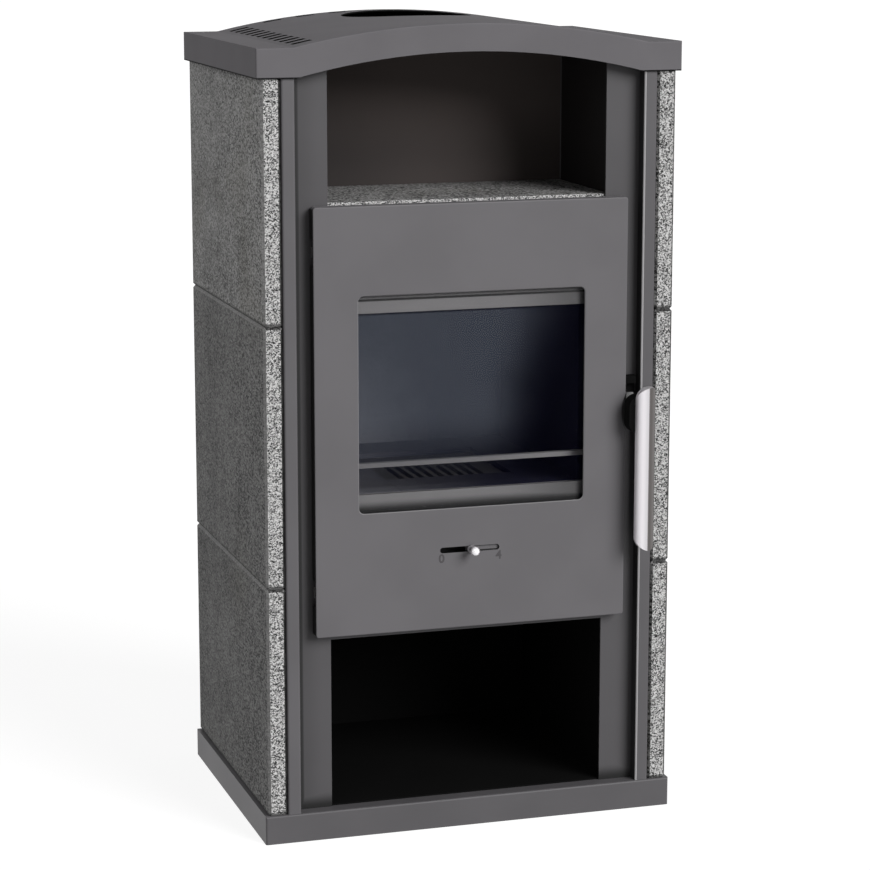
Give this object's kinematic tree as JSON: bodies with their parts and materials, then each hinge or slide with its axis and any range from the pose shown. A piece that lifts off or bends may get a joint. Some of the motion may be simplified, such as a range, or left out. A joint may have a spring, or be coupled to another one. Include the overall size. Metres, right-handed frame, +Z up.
{
  "type": "wood stove",
  "caption": "Free-standing steel wood stove clad with stone at the sides, with an arched vented top, a warming niche, a glazed hinged door with air slide and a log store below.",
  "frame": {"origin": "middle of the plinth's footprint, on the floor", "axes": "+Z up, the door faces -Y, +X to the right as seen from the front"},
  "size_m": [0.564, 0.4525, 1.054],
  "materials": {
    "painted_steel": "warm grey heat-proof paint, satin, fine grained",
    "black_steel": "black heat-proof paint, matt",
    "soapstone": "honed dark grey soapstone, mottled and faintly veined, with rough lighter edges",
    "firebrick": "pressed vermiculite board, matt and grainy",
    "cast_iron": "as cast",
    "bare_steel": "zinc-plated",
    "handle_metal": "satin",
    "window_glass": "clear heat-proof ceramic glass",
    "rope_seal": "knitted glass-fibre rope"
  },
  "bodies": {
    "casing": {"base_plinth": "painted_steel", "right_side_panel": "painted_steel", "left_side_panel": "painted_steel", "front_panel": "painted_steel", "rear_panel": "painted_steel", "top_cover": "painted_steel", "wood_store_floor": "black_steel", "niche_liner": "black_steel", "niche_ceiling": "black_steel", "niche_shelf_plate": "black_steel", "wood_store_liner": "black_steel", "right_firebox_wall": "black_steel", "left_firebox_wall": "black_steel", "firebox_back_wall": "black_steel", "firebox_bottom": "black_steel", "firebox_top": "black_steel", "hearth_plate": "black_steel", "flue_duct": "black_steel", "log_guard": "black_steel", "ember_lip": "black_steel", "ash_pan": "black_steel", "ash_pan_rails": "black_steel", "heat_shield": "black_steel", "shield_spacers": "black_steel", "niche_stone_slab": "soapstone", "left_stone_lower": "soapstone", "left_stone_middle": "soapstone", "left_stone_upper": "soapstone", "right_stone_lower": "soapstone", "right_stone_middle": "soapstone", "right_stone_upper": "soapstone", "right_firebrick": "firebrick", "left_firebrick": "firebrick", "rear_firebrick": "firebrick", "hearth_bricks": "firebrick", "baffle_plate": "firebrick", "fire_grate": "cast_iron", "flue_collar": "cast_iron", "rear_screws": "bare_steel", "stone_keys": "bare_steel", "lower_hinge_bracket": "bare_steel", "upper_hinge_bracket": "bare_steel", "latch_keeper": "bare_steel"},
    "door": {"door_front_plate": "painted_steel", "door_inner_frame": "black_steel", "door_hinge_eyes": "bare_steel", "window_glass": "window_glass", "glass_gasket": "rope_seal", "door_gasket": "rope_seal", "frame_screws": "bare_steel", "latch_bushing": "bare_steel", "air_slide_guides": "bare_steel"},
    "handle": {"handle_bar": "handle_metal", "handle_hub": "black_steel", "handle_shaft": "bare_steel", "latch_cam": "bare_steel"},
    "air_slide": {"air_slide_plate": "bare_steel", "air_knob": "handle_metal"}
  },
  "joints": [
    {"name": "door_hinge", "type": "hinge", "parent": "casing", "child": "door", "pos_m": [-0.205, -0.198, 0.55], "axis": [0, 0, -1], "range_deg": [0, 105]},
    {"name": "handle_pivot", "type": "hinge", "parent": "door", "child": "handle", "pos_m": [0.2215, -0.2, 0.545], "axis": [0, -1, 0], "range_deg": [0, 60]},
    {"name": "air_slide_travel", "type": "slide", "parent": "door", "child": "air_slide", "axis": [1, 0, 0], "range_m": [-0.037, 0.034]}
  ]
}
